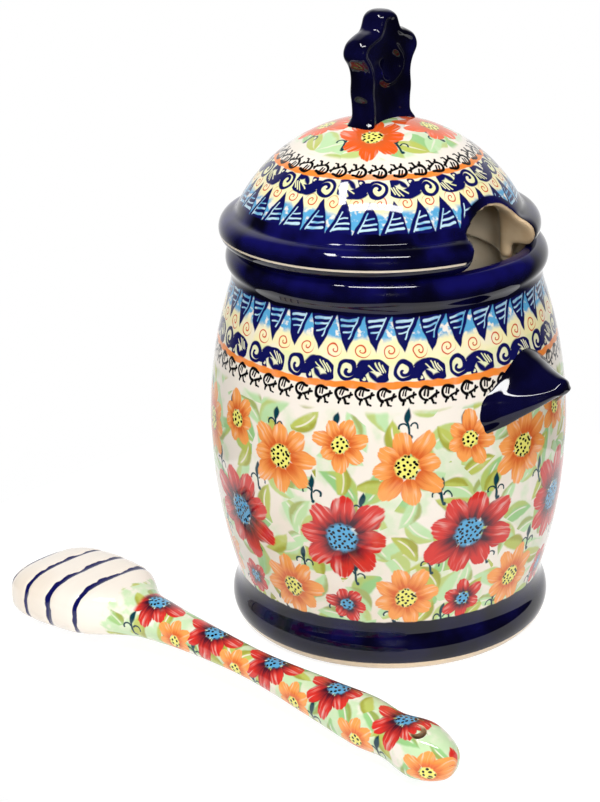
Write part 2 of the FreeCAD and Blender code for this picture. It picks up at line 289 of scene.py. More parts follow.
def pigment(red, green, blue):
    """A colour from its screen values."""
    shares = [value / 255 for value in (red, green, blue)]
    linear = [share / 12.92 if share < 0.04045 else ((share + 0.055) / 1.055) ** 2.4 for share in shares]
    return tuple(linear) + (1.0,)


def brushed(ground, colour, mask):
    """A colour laid over a ground where a mask is 1."""
    return mask.node("ShaderNodeMix", {"data_type": "RGBA"}, {0: mask, 6: ground, 7: colour}, 2)


def placed(across, up):
    """The place at two distances, in millimetres."""
    return across.node("ShaderNodeCombineXYZ", {}, {"X": across, "Y": up})


def repeats(turns, count, shift):
    """The way round in equal repeats: the share across one, from -0.5 to 0.5, and its number."""
    way = turns * count + shift
    number = way.maths("FLOOR", way)
    return way - number - 0.5, way.maths("FLOORED_MODULO", number, count)


def dot(place, across, up, radius, soft=0.25):
    return place.moved(across, up).away().fade(radius + soft, radius - soft)


def stroke(place, start, end, half_width, soft=0.15):
    """A brush stroke between two points."""
    run = (end[0] - start[0], end[1] - start[1])
    span = math.hypot(*run)
    turn = math.degrees(math.atan2(run[1], run[0]))
    near = place.moved(*start)
    along = near.along(turn)
    spare = along - near.node("ShaderNodeClamp", {}, {"Value": along, "Min": 0.0, "Max": span}, "Result")
    beside = near.along(turn + 90)
    gap = place.maths("SQRT", spare * spare + beside * beside)
    return gap.fade(half_width + soft, half_width - soft)


def strokes(place, *lines):
    """Several brush strokes, each by its start, its end and half its width."""
    mask = stroke(place, *lines[0])
    for line in lines[1:]:
        mask = mask | stroke(place, *line)
    return mask


def curl(place, centre, radius, half_width, open_turn, open_edge, soft=0.15):
    """A ring stroke, open on the side of a turn beyond an edge."""
    near = place.moved(*centre)
    ring = abs(near.away() - radius).fade(half_width + soft, half_width - soft)
    return ring * near.along(open_turn).fade(open_edge + soft, open_edge - soft)


def spiral(place, pitch, half_width, reach, start, soft=0.15):
    """A stroke that winds out from the place's centre."""
    away = place.away()
    turn = place.maths("ARCTAN2", place.along(90), place.along(0)) / (2 * math.pi)
    gap = place.maths("PINGPONG", away / pitch - turn + start, 0.5) * pitch
    return gap.fade(half_width + soft, half_width - soft) * away.fade(reach + soft, reach - soft)


def leaf(place, centre, turn, half_length, half_width, soft=0.3):
    """A leaf pointed at both ends."""
    near = place.moved(*centre)
    along = near.along(turn) / half_length
    edge = half_width - along * along * half_width - abs(near.along(turn + 90))
    return edge.fade(-soft, soft)


cream = pigment(240, 231, 219)
cobalt = pigment(15, 17, 82)
sky = pigment(88, 164, 208)
pale_sky = pigment(188, 218, 232)
straw = pigment(242, 232, 176)
lime = pigment(224, 228, 172)
orange = pigment(240, 136, 52)
rust = pigment(206, 70, 22)
ink = pigment(10, 8, 12)


def border(ground, turns, drop, sizes):
    """The stamped bands below a cobalt roll: leaves, curls, scrolls, a stripe and a row of hooks."""
    leaf_run = sizes["leaf_run"]
    share = repeats(turns, sizes["leaves"], sizes["leaf_shift"])[0]
    place = placed(share * leaf_run, drop * -1)
    length = sizes["leaf_length"]
    wash = sizes["wash"]
    edge = wash * 2.0 - 1.0
    yellow = (drop + edge).fade(length * 0.5, length * 0.72) * drop.fade(length * 1.5, length * 1.2)
    blue = (drop + edge * 3.0).fade(length * 0.74, length * 0.54) * drop.fade(-0.5, 0.0)
    ground = brushed(ground, straw, yellow * wash.fade(0.1, 0.65))
    ground = brushed(ground, sky, blue * sizes["mottle"].fade(0.66, 0.5))
    down = drop / length | 0.0
    left = share + 0.47 - down * down * 0.4
    right = 0.53 - down.maths("POWER", down, 0.9) * 0.6 - share
    blade = (left.maths("MINIMUM", left, right) * leaf_run + wash * 0.9 - 0.5).fade(-0.2, 0.2)
    veins = stroke(place, (2.5, -length * 0.06), (-0.2, -length * 0.62), 0.2)
    side_veins = ((0.11, -2.7, 2.0, 0.42), (0.27, -2.8, 1.2, 0.3), (0.43, -2.1, 0.5, 0.22))
    for level, start, end, half_width in side_veins:
        veins = veins | stroke(place, (start, -length * (level + 0.04)), (end, -length * level), half_width)
    ground = brushed(ground, cobalt, blade)
    vein_tone = brushed(sky, pale_sky, wash.fade(0.35, 0.55))
    ground = brushed(ground, vein_tone, veins * blade)

    share = repeats(turns, sizes["leaves"], sizes["leaf_shift"] + 0.5)[0]
    place = placed(share * leaf_run + 0.4, sizes["curl_drop"] - drop)
    ground = brushed(ground, rust, spiral(place, 1.55, 0.2, 2.45, 0.3) * wash.fade(-0.4, 0.5))

    share = repeats(turns, sizes["scrolls"], sizes["scroll_shift"])[0]
    place = placed(share * sizes["scroll_run"], sizes["scroll_drop"] - drop)
    within = abs(drop - sizes["scroll_drop"]).fade(3.6, 2.8)
    ground = brushed(ground, lime, within * wash.fade(0.15, 0.7) * 0.8)
    wheel = place.moved(-4.2, 0.0)
    scroll = curl(wheel, (0.0, 0.0), 2.8, 0.58, 20, 3.2) | spiral(wheel, 2.9, 0.62, 2.5, 0.3)
    wing = curl(place, (4.1, -3.3), 5.0, 1.7, -90, -0.9) | leaf(place, (0.9, 2.2), 24, 2.6, 0.9)
    light = strokes(
        place, ((4.6, 2.3), (6.3, -0.6), 0.2), ((5.7, 2.1), (7.2, -0.7), 0.22),
        ((6.8, 1.5), (8.1, -0.8), 0.2), ((2.9, 1.4), (4.6, 0.0), 0.2),
    )
    scroll = scroll | wing * (1 - light)
    scroll = scroll | curl(place, (1.2, -2.3), 1.0, 0.45, 20, 0.8) | leaf(place, (6.7, -2.6), 6, 2.6, 1.25)
    scroll = scroll | leaf(place, (3.9, -1.7), -50, 2.4, 0.85) | dot(place, 8.6, -1.0, 0.7)
    ground = brushed(ground, cobalt, scroll)

    stripe = abs(drop - sizes["stripe_drop"] + edge * 0.6).fade(1.25, 0.85)
    ground = brushed(ground, orange, stripe * wash.fade(-0.3, 0.55))

    share = repeats(turns, sizes["hooks"], sizes["hook_shift"])[0]
    place = placed(share * sizes["hook_run"], sizes["hook_drop"] - drop)
    hook = curl(place, (-0.7, 0.5), 1.9, 0.5, -15, 0.9) | strokes(
        place, ((-0.7, 2.3), (1.3, 1.7), 0.5), ((-1.3, 0.2), (-0.9, 1.7), 0.3),
        ((-0.4, 0.0), (0.0, 1.5), 0.32), ((0.0, -1.0), (2.9, 0.3), 0.42),
        ((2.0, -0.8), (2.4, 0.9), 0.36), ((-0.9, -1.2), (-1.5, -2.5), 0.42),
        ((0.5, -0.9), (1.0, -2.4), 0.42), ((1.0, -2.4), (1.9, -2.6), 0.32),
    )
    return brushed(ground, ink, hook)


red = pigment(212, 52, 44)
plum = pigment(60, 24, 40)
amber = pigment(245, 160, 84)
brick = pigment(214, 96, 44)
mint = pigment(188, 220, 168)
fern = pigment(150, 198, 130)
moss = pigment(186, 194, 96)
olive = pigment(150, 148, 48)
teal = pigment(16, 58, 70)
lemon = pigment(238, 232, 120)


def blossom(ground, place, number, seed, radius, petals, tones, wash):
    """A brushed blossom of broad round petals about a dotted heart."""
    tip_tone, root_tone, heart_tone = tones
    away = place.away()
    turn = place.maths("ARCTAN2", place.along(90), place.along(0)) / (2 * math.pi)
    share, petal = repeats(turn, petals, number.chance(seed))
    size = (petal + number * petals).chance(seed + 0.5) * 0.3 + 0.82
    across = share * away * (2 * math.pi / petals)
    reach = away / radius / size
    side = across / (radius * 2.2 / petals)
    hairs = placed(side * 2.2 + petal * 9.0 + number * 5.0, reach * 0.7).grain(1.4, 2.0)
    round_off = (reach - 0.63) / 0.36
    blade = (round_off * round_off + side * side + (hairs - 0.5) * 0.9).fade(1.1, 0.86)
    tone = brushed(tip_tone, root_tone, (reach + (hairs - 0.5) * 0.5).fade(0.72, 0.3))
    tone = brushed(tone, cream, hairs.fade(0.5, 0.72) * reach.fade(0.5, 0.8) * 0.55)
    tone = brushed(tone, root_tone, abs(side).fade(0.6, 0.95) * hairs.fade(0.35, 0.6) * 0.6)
    ground = brushed(ground, tone, blade * wash.fade(-0.6, 0.4))
    heart = (away + (hairs - 0.5) * 1.2).fade(radius * 0.35, radius * 0.25)
    ground = brushed(ground, heart_tone, heart)
    cells = {"voronoi_dimensions": "2D", "feature": "F1"}
    seeds = place.node("ShaderNodeTexVoronoi", cells, {"Vector": place, "Scale": 0.66, "Randomness": 0.8})
    return brushed(ground, ink, seeds.fade(0.36, 0.26) * away.fade(radius * 0.34, radius * 0.28))


def foliage(ground, place, ways, cell, size, tones, field, wash):
    """Watercolour leaves scattered over a field, one to a cell, turned every way, each with a pale vein."""
    cells = {"voronoi_dimensions": "3D", "feature": "F1"}
    inputs = {"Vector": place, "Scale": 1 / cell, "Randomness": 0.85}
    centre = place.node("ShaderNodeTexVoronoi", cells, inputs, "Position")
    tints = split(place.node("ShaderNodeTexVoronoi", cells, inputs, "Color"))
    across, up = (place.seen_from(centre).toward(way) for way in ways)
    turn = tints[0] * (2 * math.pi)
    sine = turn.maths("SINE", turn)
    cosine = turn.maths("COSINE", turn)
    along = across * cosine + up * sine
    beside = up * cosine - across * sine + along * along * 0.04
    half_length, half_width = size
    blade = half_width - along * along * (half_width / half_length ** 2) - abs(beside) + (wash - 0.5) * 1.6
    tone = brushed(tones[0], tones[1], tints[1].fade(0.45, 0.55))
    tone = brushed(tone, tones[2], (beside * 0.25 + wash).fade(0.5, 0.9) * 0.7)
    ground = brushed(ground, tone, blade.fade(-0.5, 0.5) * field * wash.fade(-0.3, 0.5))
    vein = abs(beside).fade(0.45, 0.15) * abs(along).fade(half_length * 0.75, half_length * 0.5)
    return brushed(ground, cream, vein * tints[2].fade(0.3, 0.5) * field * 0.75)


def sprig(place):
    """A small dark sprig: a bud on a stem with two curling tendrils."""
    mask = leaf(place, (0.2, 2.6), 80, 2.6, 1.0)
    mask = mask | stroke(place, (0.0, 0.6), (0.5, -3.4), 0.42)
    mask = mask | curl(place, (-1.5, -0.7), 1.3, 0.3, -70, 0.2)
    mask = mask | curl(place, (2.1, -1.1), 1.3, 0.3, -110, 0.2)
    return mask | dot(place, 0.9, -3.9, 0.7)


def leaf_pair(ground, place, wash, spread, half_length, half_width):
    """Two broad leaves from one stalk, one fresh green and one olive, each with a pale vein."""
    for turn, tone in ((90 - spread, mint), (90 + spread, moss)):
        way = (math.cos(math.radians(turn)) * half_length, math.sin(math.radians(turn)) * half_length)
        blade = leaf(place, way, turn, half_length, half_width)
        vein = leaf(place, way, turn, half_length * 0.8, 0.35)
        ground = brushed(ground, tone, blade * wash.fade(-0.2, 0.6))
        ground = brushed(ground, cream, vein * 0.7)
    return ground


def glaze_coat(material, colour, roughness, place):
    """A clear coat of glaze over a colour, with the slight ripple and dimples of a dipped piece."""
    shader = material.node_tree.nodes["Principled BSDF"]
    tree = material.node_tree
    tree.links.new(colour.socket, shader.inputs["Base Color"])
    ripple = place.grain(0.11, 1.0) * 0.7 + place.grain(1.3, 2.0) * 0.012
    relief = {"Height": ripple, "Strength": 0.06, "Distance": 0.6 * mm}
    bump = place.node("ShaderNodeBump", {}, relief, "Normal")
    tree.links.new(bump.socket, shader.inputs["Normal"])
    tree.links.new((place.grain(0.35, 3.0) * 0.03 + roughness).socket, shader.inputs["Roughness"])
    shader.inputs["IOR"].default_value = 1.45


def new_glaze(name):
    """A new material, with the place on the piece in millimetres."""
    material = bpy.data.materials.new(name)
    material.use_nodes = True
    start = Dye(material.node_tree)
    spot = start.node("ShaderNodeTexCoord", {}, {}, "Object")
    place = start.node("ShaderNodeVectorMath", {"operation": "SCALE"}, {0: spot, "Scale": 1 / mm})
    return material, place


def split(place):
    """The three distances of a place."""
    kinds = ("X", "Y", "Z")
    return [place.node("ShaderNodeSeparateXYZ", {}, {0: place}, kind) for kind in kinds]


def dipped_cobalt(place, shoulder):
    """Cobalt where a piece was dipped: nearly black where thick, bluer where the shoulder mask is 1, which is
    thin glaze on ridges and, on the pot and lid, painted top light on upper sides.
    """
    pool = place.grain(0.08, 2.0)
    thick = brushed(pigment(3, 2, 20), pigment(8, 7, 46), pool.fade(0.35, 0.7))
    return brushed(thick, pigment(15, 13, 82), shoulder * pool.fade(0.3, 0.7))


def hand_wobble(place):
    """Three slow random shares about 0, for the unsteady hand of the painter."""
    return [share - 0.5 for share in split(place.grain(0.22, 1.0, "Color"))]


def worn_cream(place):
    """The cream ground, a little warmer in broad patches."""
    return brushed(cream, pigment(226, 210, 190), place.grain(0.03, 2.0).fade(0.45, 0.75) * 0.5)


turn_wobble = 0.004
line_wobble = 1.4
blossoms_round = 9
field_radius = 59.0
field_top = 93.5
foot_dip = 18.0
dip_edge = 0.6
wiped_foot = 3.6

painted_glaze, place = new_glaze("painted_glaze")
wobble = hand_wobble(place)
across, along, height = split(place)
turns = place.maths("ARCTAN2", along, across) / (2 * math.pi) + wobble[0] * turn_wobble
height = height + wobble[1] * line_wobble
wash = place.grain(0.16, 4.0)
fleck = place.grain(2.4, 1.0)
colour = worn_cream(place)
colour = brushed(colour, pigment(196, 168, 130), fleck.fade(0.78, 0.84) * 0.5)

field_run = 2 * math.pi * field_radius / blossoms_round
tile, number = repeats(turns, blossoms_round, 0.1)
half_tile, half_number = repeats(turns, blossoms_round, 0.6)
field = height.fade(field_top, field_top - 2.0)
girth = place.maths("SQRT", across * across + along * along)
round_way = place.node("ShaderNodeCombineXYZ", {}, {"X": along / girth * -1, "Y": across / girth})
green_ways = (round_way, (0.0, 0.0, 1.0))
colour = brushed(colour, mint, place.grain(0.075, 3.0).fade(0.48, 0.6) * field * wash.fade(0.2, 0.7) * 0.6)
colour = foliage(colour, place, green_ways, 15.0, (8.0, 3.4), (mint, fern, moss), field, wash)
between = place.moved(9.0, 5.0)
colour = foliage(colour, between, green_ways, 13.0, (6.5, 2.7), (moss, mint, olive), field, wash)
for level in (86.0, 63.0, 39.0, 21.5):
    fine_tile, fine_number = repeats(turns, 2 * blossoms_round, level * 0.37)
    shift = (fine_number.chance(level) - 0.5) * 6
    colour = brushed(colour, teal, sprig(placed(fine_tile * field_run / 2 + shift, height - level + shift)))
orange_tones = (amber, brick, lemon)
red_tones = (red, plum, sky)
for level, radius, petals, tones, repeat, numbers in (
    (50.0, 16.5, 8, red_tones, tile, number),
    (75.0, 12.5, 8, orange_tones, half_tile, half_number),
    (27.5, 12.0, 8, orange_tones, half_tile, half_number),
    (82.0, 9.0, 7, orange_tones, tile, number),
    (24.5, 7.5, 6, red_tones, tile, number),
):
    spot = placed(repeat * field_run, height - level)
    colour = blossom(colour, spot, numbers, level, radius, petals, tones, wash)

pot_border = {
    "leaves": 38, "leaf_run": 8.6, "leaf_length": 11.0, "leaf_shift": 0.052, "curl_drop": 10.2,
    "scrolls": 20, "scroll_run": 18.0, "scroll_shift": 0.722, "scroll_drop": 16.2,
    "stripe_drop": 20.6, "hooks": 54, "hook_run": 6.82, "hook_shift": 0.0, "hook_drop": 23.9,
    "wash": wash, "mottle": place.grain(0.5, 2.0),
}
colour = border(colour, turns, neck[1] - height, pot_border)
# Painted top light: the upper sides of the collar and of the foot's S curve are painted bluer, as if lit from
# above.
foot_top_light = height.fade(9.0, 12.0) * height.fade(foot_dip, 14.0) * 0.3
dipped = dipped_cobalt(place, height.fade(126.0, 130.5) | foot_top_light)
colour = brushed(colour, dipped, height.fade(neck[1] - dip_edge, neck[1]))
colour = brushed(colour, dipped, height.fade(foot_dip, foot_dip - dip_edge))
colour = brushed(colour, pigment(222, 200, 170), split(place)[2].fade(wiped_foot, wiped_foot - 0.4))
glaze_coat(painted_glaze, colour, 0.03, place)

cream_glaze, place = new_glaze("cream_glaze")
colour = brushed(pigment(238, 224, 198), pigment(226, 206, 174), place.grain(0.05, 3.0).fade(0.4, 0.7))
colour = brushed(colour, pigment(150, 116, 80), place.grain(1.6, 1.0).fade(0.74, 0.8) * 0.6)
glaze_coat(cream_glaze, colour, 0.14, place)

bare_clay, place = new_glaze("bare_clay")
colour = brushed(pigment(214, 186, 150), pigment(186, 148, 108), place.grain(0.4, 5.0).fade(0.35, 0.7))
colour = brushed(colour, pigment(120, 88, 60), place.grain(2.6, 1.0).fade(0.7, 0.76))
glaze_coat(bare_clay, colour, 0.62, place)



def row_at(point):
    """The row of the pot's outline that lies nearest to a point."""
    return min(range(len(pot_outline)), key=lambda row: math.dist(pot_outline[row], point))


pot_mesh = turned_mesh("pot", pot_outline, {
    "Columns": pot_columns + 1,
    "Foot row": row_at(foot_edge),
    "Mouth row": row_at((mouth_radius, rim_height)),
    "Outside": painted_glaze,
    "Inside": cream_glaze,
    "Underside": bare_clay,
})
new_piece("pot", pot_mesh, "pot", "pot_body")

# Lug handles
# Two hooded thumb rests, pinched from clay, hollow below and luted to the barrel on opposite sides.
# They are dipped in cobalt under the same gloss glaze, which gathers in a soft rim round their lip.
lug_tip = 72.6
lug_half_width = 22.4
lug_lip = 5.0
lug_end_foot = 82.0
lug_tip_foot = 94.2
lug_root_top = 105.3
lug_tip_top = 98.8
lug_tip_height = 96.6
lug_shoulders = ((0.62, 0.75), (0.80, 0.57))
lug_brows = ((0.87, 0.40), (0.985, 0.33))
lug_arches = [
    (41.24, 1.05, 0.00, 0.00),
    (53.00, 0.96, 0.00, 0.00),
    (59.08, 0.71, 0.20, 0.36),
    (63.58, 0.545, 0.46, 0.70),
    (68.09, 0.37, 0.73, 0.92),
    (71.23, 0.21, 0.94, 1.00),
    (72.30, 0.11, 0.99, 1.08),
]
lug_rows = 60
lug_columns = 96


def spline(points, share, closed=False):
    """The place at a share of the way along a smooth curve through points."""
    count = len(points) if closed else len(points) - 1
    way = min(max(share, 0.0), 1.0) * count
    start = min(int(way), count - 1)
    t = way - start

    def pick(index):
        return points[index % len(points)] if closed else points[min(max(index, 0), len(points) - 1)]

    before, first, second, after = (pick(start + step) for step in (-1, 0, 1, 2))
    place = []
    for a, b, c, d in zip(before, first, second, after):
        place.append(
            b + (c - a) * t / 2 + (2 * a - 5 * b + 4 * c - d) * t ** 2 / 2
            + (3 * b - a - 3 * c + d) * t ** 3 / 2
        )
    return place


def lug_arch(half_width, foot, top):
    """The ten points of one arch of the hood, across and up, rounded at its feet and hollow between them."""
    rise = top - foot
    hollow = max(half_width - lug_lip, 0.0)
    sides = []
    for way, shoulder, brow in zip((1, -1), lug_shoulders, lug_brows):
        sides.append([
            (half_width * shoulder[0] * way, foot + rise * shoulder[1]),
            (half_width * brow[0] * way, foot + rise * brow[1]),
            (half_width * way, foot + rise * 0.13),
            ((half_width + hollow) / 2 * way, foot),
        ])
    return [(0.0, top)] + sides[0] + [(0.0, foot + hollow / half_width * rise)] + sides[1][::-1]


def lug_mesh(name, side):
    """The lug skinned over its arches, from the second, which lies within the wall, to its rounded tip."""
    arches = []
    for reach, width, foot, top in lug_arches:
        foot_height = lug_end_foot + (lug_tip_foot - lug_end_foot) * foot
        top_height = lug_root_top + (lug_tip_top - lug_root_top) * top
        arch = lug_arch(lug_half_width * width, foot_height, top_height)
        arches.append([(reach, across, up) for across, up in arch])
    arches.append([(lug_tip, 0.0, lug_tip_height)] * len(arches[0]))
    shell = bmesh.new()
    rings = []
    for row in range(lug_rows):
        share = (1 + (len(arches) - 2) * row / lug_rows) / (len(arches) - 1)
        arch = [spline([section[index] for section in arches], share) for index in range(len(arches[0]))]
        ring = []
        for column in range(lug_columns):
            reach, across, up = spline(arch, column / lug_columns, True)
            ring.append(shell.verts.new((reach * side * mm, across * side * mm, up * mm)))
        rings.append(ring)
    tip = shell.verts.new((lug_tip * side * mm, 0.0, lug_tip_height * mm))
    sleeve(shell, rings)
    cone(shell, rings[-1], tip)
    shell.faces.new(rings[0][::-1])
    return finished(name, shell)


def sleeve(shell, rings):
    """Faces from each ring of points to the next."""
    for ring, after in zip(rings, rings[1:]):
        for column in range(len(ring)):
            beside = (column + 1) % len(ring)
            shell.faces.new((ring[column], ring[beside], after[beside], after[column]))


def cone(shell, ring, tip):
    """Faces from a ring of points to one tip."""
    for column in range(len(ring)):
        shell.faces.new((ring[column], ring[(column + 1) % len(ring)], tip))


def finished(name, shell):
    """A closed shell as a mesh, with its doubles merged, its faces turned outwards and smooth."""
    bmesh.ops.remove_doubles(shell, verts=shell.verts, dist=merge_gap * mm)
    bmesh.ops.recalc_face_normals(shell, faces=shell.faces)
    mesh = bpy.data.meshes.new(name)
    shell.to_mesh(mesh)
    shell.free()
    mesh.shade_smooth()
    return mesh


cobalt_glaze, place = new_glaze("cobalt_glaze")
edge = place.node("ShaderNodeNewGeometry", {}, {}, "Pointiness").fade(0.51, 0.58)
colour = dipped_cobalt(place, edge * 0.6)
glaze_coat(cobalt_glaze, colour, 0.03, place)

for side_name, side in (("right", 1), ("left", -1)):
    mesh = lug_mesh("lug_" + side_name, side)
    mesh.materials.append(cobalt_glaze)
    new_piece("lug_" + side_name, mesh, "pot", "lug_handle_" + side_name)

# Lid
# A thrown dome over a rolled rim, with a flange that drops into the mouth and a notch for the dipper.
# The notch is cut while the clay is soft and wiped round; the lid lies loose, turned a little on its seat.
lid_place = Vector((-1.661, -1.418, 0.0))
lid_turn = math.radians(2.5)
lid_seat = (49.2, 132.2)
lid_roll = (52.6, 137.2)
roll_end = (48.3, 142.0)
dome_foot = (46.3, 143.8)
dome_radius = 52.37
dome_centre = 119.33
flange_radius = 43.55
flange_inside = 39.55
flange_bottom = 124.2
flange_round = 1.5
vault_radius = 47.87
notch_radius = 16.5
notch_centre = 131.8
notch_soft = 4.5
notch_sponging = 26
flange_wipe = 3.0
lid_grain = 0.68
lid_columns = 240
wall_steps = 40
crown_field = 29.0
crown_blossoms = 4
lid_dip = 54.4
lid_lie = Matrix.Translation(lid_place) @ Matrix.Rotation(lid_turn, 4, "Z")

dome_edge = math.degrees(math.atan2(dome_foot[1] - dome_centre, dome_foot[0]))
vault_edge = math.degrees(math.acos(flange_inside / vault_radius))
cove_middle = ((roll_end[0] + dome_foot[0]) / 2 * 0.5 + dome_foot[0] * 0.5,
               (roll_end[1] + dome_foot[1]) / 2 * 0.5 + roll_end[1] * 0.5)
lid_outline = round_about((0.0, dome_centre), dome_radius, 90, dome_edge)
lid_outline += [cove_middle]
lid_outline += upright_arc(lid_roll, roll_end, True)
lid_outline += upright_arc(lid_roll, lid_seat)
lid_outline += [(flange_radius, lid_seat[1])]
lid_outline += round_about((flange_radius - flange_round, flange_bottom + flange_round), flange_round, 0, -90)
lid_outline += [(flange_inside, flange_bottom)]
lid_outline += round_about((0.0, dome_centre), vault_radius, vault_edge, 90)
lid_outline = glazed_outline(lid_outline)


def step_up(value, none, full):
    """A smooth step from 0 to 1 between two values."""
    share = min(max((value - none) / (full - none), 0.0), 1.0)
    return share * share * (3 - 2 * share)


def notch_gap(place):
    """How far a point of the lid lies outside the notch, seen along it."""
    if place.x < 0:
        return notch_radius
    return math.hypot(place.y, max(place.z - notch_centre, 0.0)) - notch_radius


def notch_cutter():
    """The round-headed bar that the notch is cut with, along X."""
    shell = bmesh.new()
    rim = [(-notch_radius, flange_bottom - 5.0), (notch_radius, flange_bottom - 5.0)]
    rim += round_about((0.0, notch_centre), notch_radius, 0, 180)
    ends = [[shell.verts.new((x * mm, y * mm, z * mm)) for y, z in rim] for x in (0.0, lid_roll[0] + 5.0)]
    sleeve(shell, ends)
    shell.faces.new(ends[0])
    shell.faces.new(ends[1])
    return finished("notch_cutter", shell)


def cut_away(blank, cutter):
    """A cut in a blank, as a modifier."""
    cut = blank.modifiers.new("cut", "BOOLEAN")
    cut.operation = "DIFFERENCE"
    cut.solver = "EXACT"
    cut.object = cutter


def evened_shell(grain, *things):
    """The first thing worked and evened out to one grain, as a shell to go on with."""
    evened = things[0].modifiers.new("evened", "REMESH")
    evened.mode = "VOXEL"
    evened.voxel_size = grain
    shell = bmesh.new()
    shell.from_mesh(worked(*things))
    return shell


def sponged(shell, points, times):
    """Points of a shell smoothed over and over, as a wet sponge smooths clay."""
    axes = {"use_axis_x": True, "use_axis_y": True, "use_axis_z": True}
    for smoothing in range(times):
        bmesh.ops.smooth_vert(shell, verts=points, factor=0.5, **axes)


def lid_mesh():
    """The lid turned as a solid, cut by the notch, evened out, and wiped soft where it was cut."""
    blank = set_out("lid_blank", turned_mesh("lid", lid_outline, {"Columns": lid_columns + 1}))
    cutter = set_out("notch_cutter", notch_cutter())
    cut_away(blank, cutter)
    shell = evened_shell(lid_grain * mm, blank, cutter)
    bmesh.ops.scale(shell, vec=(1 / mm, 1 / mm, 1 / mm), verts=shell.verts)
    beside = [vert for vert in shell.verts if notch_gap(vert.co) < notch_soft]
    for vert in beside:
        wipe = step_up(notch_gap(vert.co), notch_soft * 1.6, 0.0)
        vert.co.z += flange_wipe * wipe * step_up(vert.co.z, lid_seat[1], flange_bottom)
    sponged(shell, beside, notch_sponging)
    steps = wall_steps * len(lid_outline)
    wall = kdtree.KDTree(steps + 1)
    for step in range(steps + 1):
        start = min(int(step / wall_steps), len(lid_outline) - 2)
        share = step / wall_steps - start
        first, second = lid_outline[start], lid_outline[start + 1]
        spot = [a + (b - a) * share for a, b in zip(first, second)]
        wall.insert((spot[0], spot[1], 0.0), step)
    wall.balance()
    for vert in shell.verts:
        kept = step_up(notch_gap(vert.co), 0.8, notch_soft)
        reach = math.hypot(vert.co.x, vert.co.y)
        true = wall.find((reach, vert.co.z, 0.0))[0]
        across, along = (side / max(reach, 0.001) * true.x for side in vert.co.xy)
        vert.co = vert.co.lerp(Vector((across, along, true.y)), kept)
    bmesh.ops.transform(shell, matrix=Matrix.Scale(mm, 4) @ lid_lie, verts=shell.verts)
    return finished("lid", shell)


lid_glaze, place = new_glaze("lid_glaze")
wobble = hand_wobble(place)
across, along, height = split(place.moved(lid_place.x, lid_place.y))
ring = place.maths("SQRT", across * across + along * along)
turns = place.maths("ARCTAN2", along, across) / (2 * math.pi) - lid_turn / (2 * math.pi)
arc = place.maths("ARCTAN2", ring, height - dome_centre) * dome_radius
turns = turns + wobble[0] * turn_wobble
crown = arc + wobble[1] * line_wobble
wash = place.grain(0.16, 4.0)
colour = worn_cream(place)
top = crown.fade(crown_field, crown_field - 2.0)
colour = brushed(colour, mint, place.grain(0.085, 3.0).fade(0.46, 0.56) * top * wash.fade(0.2, 0.7) * 0.7)
crown_ways = ((1.0, 0.0, 0.0), (0.0, 1.0, 0.0))
colour = foliage(colour, place, crown_ways, 13.0, (7.5, 3.2), (mint, fern, moss), top, wash)
round_way = ring * (2 * math.pi / crown_blossoms)
tile, number = repeats(turns, crown_blossoms, 0.15)
half_tile = repeats(turns, crown_blossoms, 0.65)[0]
colour = leaf_pair(colour, placed(half_tile * round_way, 27.0 - crown), wash, 52, 6.0, 3.2)
for level, shift in ((20.4, 0.42), (21.6, 0.9)):
    fine_tile = repeats(turns, crown_blossoms, shift)[0]
    colour = brushed(colour, teal, sprig(placed(fine_tile * round_way, level - crown)))
crown_tones = (pigment(236, 92, 30), brick, lemon)
colour = blossom(colour, placed(tile * round_way, 17.0 - crown), number, 2.0, 11.0, 8, crown_tones, wash)
lid_border = {
    "leaves": 33, "leaf_run": 8.2, "leaf_length": 11.2, "leaf_shift": 0.3, "curl_drop": 10.0,
    "scrolls": 14, "scroll_run": 16.3, "scroll_shift": 0.2, "scroll_drop": 14.8,
    "stripe_drop": 19.3, "hooks": 31, "hook_run": 6.4, "hook_shift": 0.0, "hook_drop": 21.8,
    "wash": wash, "mottle": place.grain(0.5, 2.0),
}
colour = border(colour, turns * -1, crown * -1 + (lid_dip + 0.4), lid_border)
# Painted top light: the upper side of the rolled rim is painted bluer, as if lit from above.
dipped = dipped_cobalt(place, height.fade(136.5, 141.0))
colour = brushed(colour, dipped, crown.fade(lid_dip, lid_dip + dip_edge))
thin_line = abs(height - lid_roll[1] + 1.1).fade(0.42, 0.3) * ring.fade(50.0, 51.0)
colour = brushed(colour, pigment(232, 218, 196), thin_line)
beside = place.moved(lid_place.x, lid_place.y)
notch_side = beside.along(math.degrees(lid_turn)).fade(0.0, 1.0)
sideways = beside.along(90 + math.degrees(lid_turn))
notch_away = placed(sideways, (height - notch_centre) | 0.0).away() - notch_radius
colour = brushed(colour, dipped, notch_away.fade(3.7, 3.1) * notch_side)
clay = brushed(pigment(242, 224, 194), pigment(230, 206, 170), place.grain(0.06, 3.0).fade(0.4, 0.7))
toast = height.fade(130.5, 126.0) * place.grain(0.12, 3.0).fade(0.2, 0.6)
clay = brushed(clay, pigment(196, 118, 58), toast * ring.fade(41.0, 43.0))
from_centre = placed(ring, height - dome_centre).away()
bare = from_centre.fade(dome_radius - 1.6, dome_radius - 2.4)
wiped = (notch_away - sideways.fade(-8.0, 8.0) * 0.8 - place.grain(0.3, 2.0) * 0.9).fade(0.25, -0.15)
colour = brushed(colour, clay, bare)
cut_clay = brushed(pigment(202, 178, 144), pigment(188, 160, 124), place.grain(0.1, 3.0).fade(0.4, 0.7))
colour = brushed(colour, cut_clay, wiped * notch_side)
glaze_coat(lid_glaze, colour, 0.03, place)

mesh = lid_mesh()
mesh.materials.append(lid_glaze)
new_piece("lid", mesh, "lid", "lid_shell")

